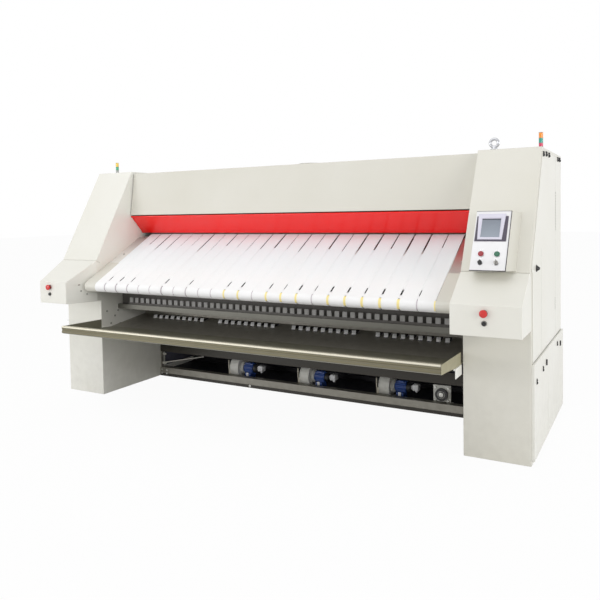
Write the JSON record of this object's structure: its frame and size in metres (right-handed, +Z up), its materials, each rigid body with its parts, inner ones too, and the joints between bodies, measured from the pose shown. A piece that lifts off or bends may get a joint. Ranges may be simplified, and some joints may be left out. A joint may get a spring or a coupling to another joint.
{
  "type": "flatwork ironer",
  "caption": "Wide flatwork ironer with a belt feed bed, padded roll in a heated chest, red finger guard, linen tray, blowers and end cabinets with a touch-screen box.",
  "frame": {"origin": "middle of the machine's footprint box on the floor", "axes": "+X along the roll to the operator's right, +Y from the front to the back, +Z up"},
  "size_m": [3.8326, 1.765, 1.9743],
  "materials": {
    "ivory": "satin powder coat",
    "beige": "satin powder coat",
    "guard_red": "gloss",
    "belt": "woven, matt",
    "stainless": "brushed",
    "steel": "turned",
    "frame_grey": "matt paint",
    "tray_brown": "semi-gloss paint",
    "cast_grey": "painted casting",
    "motor_blue": "semi-gloss paint",
    "felt": "felt",
    "black": "matt",
    "white": "satin powder coat",
    "screen": "gloss",
    "red": "gloss",
    "green": "gloss",
    "lamp": "translucent"
  },
  "bodies": {
    "machine": {"base_frame": "frame_grey", "left_side_frame": "frame_grey", "right_side_frame": "frame_grey", "left_cabinet": "ivory", "right_cabinet": "ivory", "left_console": "ivory", "right_console": "ivory", "hood_panel": "beige", "top_cover": "beige", "rear_cover": "beige", "delivery_slide": "stainless", "right_upper_panel": "ivory", "left_side_panel": "ivory", "feed_bed": "stainless", "feed_belts": "belt", "left_nose_bracket": "beige", "right_nose_bracket": "beige", "heated_chest": "cast_grey", "left_roll_bearing": "cast_grey", "right_roll_bearing": "cast_grey", "gearmotor": "motor_blue", "drive_chain": "steel", "return_chute": "tray_brown", "linen_tray": "tray_brown", "cross_bar": "steel", "guide_rail": "steel", "flange_bearing": "cast_grey", "control_box": "white", "touch_screen": "screen", "left_signal_lamp": "lamp", "right_signal_lamp": "lamp", "lifting_eye": "steel", "blower_1_scroll": "cast_grey", "blower_1_motor": "motor_blue", "blower_2_scroll": "cast_grey", "blower_2_motor": "motor_blue", "blower_3_scroll": "cast_grey", "blower_3_motor": "motor_blue"},
    "roll": {"ironing_roll": "steel", "roll_padding": "felt", "roll_sprocket": "steel"},
    "drive_sprocket": {"motor_sprocket": "steel"},
    "nose_roller": {"nose_roller": "steel"},
    "feed_drive_roller": {"feed_drive_roller": "steel"},
    "guard": {"finger_guard": "guard_red"},
    "front_door": {"right_front_door": "ivory"},
    "rear_door": {"right_rear_door": "ivory"},
    "front_latch": {"right_front_latch": "black"},
    "rear_latch": {"right_rear_latch": "black"},
    "fan_1": {"blower_1_fan": "steel"},
    "fan_2": {"blower_2_fan": "steel"},
    "fan_3": {"blower_3_fan": "steel"},
    "start_button": {"start_button": "green"},
    "stop_button": {"stop_button": "red"},
    "left_push": {"left_push_button": "black"},
    "right_push": {"right_push_button": "black"},
    "left_emergency": {"left_emergency_button": "red"},
    "right_emergency": {"right_emergency_button": "red"},
    "selector": {"mode_selector": "black"},
    "key": {"key_switch": "steel"}
  },
  "joints": [
    {"name": "roll_spin", "type": "hinge", "parent": "machine", "child": "roll", "pos_m": [0, 0.4425, 1.265], "axis": [1, 0, 0], "continuous": true},
    {"name": "drive_sprocket_spin", "type": "hinge", "parent": "machine", "child": "drive_sprocket", "pos_m": [-1.616, 0.2925, 0.3], "axis": [1, 0, 0], "continuous": true},
    {"name": "nose_roller_spin", "type": "hinge", "parent": "machine", "child": "nose_roller", "pos_m": [0, -0.5975, 0.92], "axis": [1, 0, 0], "continuous": true},
    {"name": "feed_drive_roller_spin", "type": "hinge", "parent": "machine", "child": "feed_drive_roller", "pos_m": [0, 0.0521, 1.2847], "axis": [1, 0, 0], "continuous": true},
    {"name": "guard_swing", "type": "hinge", "parent": "machine", "child": "guard", "pos_m": [0, -0.0895, 1.472], "axis": [1, 0, 0], "range_deg": [0, 20]},
    {"name": "front_door_tilt", "type": "hinge", "parent": "machine", "child": "front_door", "pos_m": [1.8923, -0.203, 0.028], "axis": [0, 1, 0], "range_deg": [0, 30]},
    {"name": "rear_door_tilt", "type": "hinge", "parent": "machine", "child": "rear_door", "pos_m": [1.8923, 0.433, 0.028], "axis": [0, 1, 0], "range_deg": [0, 30]},
    {"name": "front_latch_turn", "type": "hinge", "parent": "front_door", "child": "front_latch", "pos_m": [1.9086, -0.0215, 0.515], "axis": [1, 0, 0], "range_deg": [0, 90]},
    {"name": "rear_latch_turn", "type": "hinge", "parent": "rear_door", "child": "rear_latch", "pos_m": [1.9086, 0.6325, 0.515], "axis": [1, 0, 0], "range_deg": [0, 90]},
    {"name": "fan_1_spin", "type": "hinge", "parent": "machine", "child": "fan_1", "pos_m": [-0.715, 0.3825, 0.1303], "axis": [1, 0, 0], "continuous": true},
    {"name": "fan_2_spin", "type": "hinge", "parent": "machine", "child": "fan_2", "pos_m": [-0.015, 0.3825, 0.1303], "axis": [1, 0, 0], "continuous": true},
    {"name": "fan_3_spin", "type": "hinge", "parent": "machine", "child": "fan_3", "pos_m": [0.685, 0.3825, 0.1303], "axis": [1, 0, 0], "continuous": true},
    {"name": "start_button_press", "type": "slide", "parent": "machine", "child": "start_button", "axis": [0, 0.8641, -0.5034], "range_m": [0, 0.004], "stiffness_N_per_m": 800, "springref_m": -0.001},
    {"name": "stop_button_press", "type": "slide", "parent": "machine", "child": "stop_button", "axis": [0, 0.8641, -0.5034], "range_m": [0, 0.004], "stiffness_N_per_m": 800, "springref_m": -0.001},
    {"name": "left_push_press", "type": "slide", "parent": "machine", "child": "left_push", "axis": [0, 1, 0], "range_m": [0, 0.004], "stiffness_N_per_m": 800, "springref_m": -0.001},
    {"name": "right_push_press", "type": "slide", "parent": "machine", "child": "right_push", "axis": [0, 1, 0], "range_m": [0, 0.004], "stiffness_N_per_m": 800, "springref_m": -0.001},
    {"name": "left_emergency_press", "type": "slide", "parent": "machine", "child": "left_emergency", "axis": [0, 1, 0], "range_m": [0, 0.006]},
    {"name": "right_emergency_press", "type": "slide", "parent": "machine", "child": "right_emergency", "axis": [0, 1, 0], "range_m": [0, 0.006]},
    {"name": "selector_turn", "type": "hinge", "parent": "machine", "child": "selector", "pos_m": [1.633, -0.58787, 1.17998], "axis": [0, -0.8641, 0.5034], "range_deg": [-45, 45]},
    {"name": "key_turn", "type": "hinge", "parent": "machine", "child": "key", "pos_m": [1.723, -0.58787, 1.17998], "axis": [0, -0.8641, 0.5034], "range_deg": [0, 90]}
  ],
  "couplings": [
    {"joint": "drive_sprocket_spin", "follows": "roll_spin", "ratio": 2.7273},
    {"joint": "nose_roller_spin", "follows": "roll_spin", "ratio": -8.3333},
    {"joint": "feed_drive_roller_spin", "follows": "roll_spin", "ratio": -10}
  ]
}
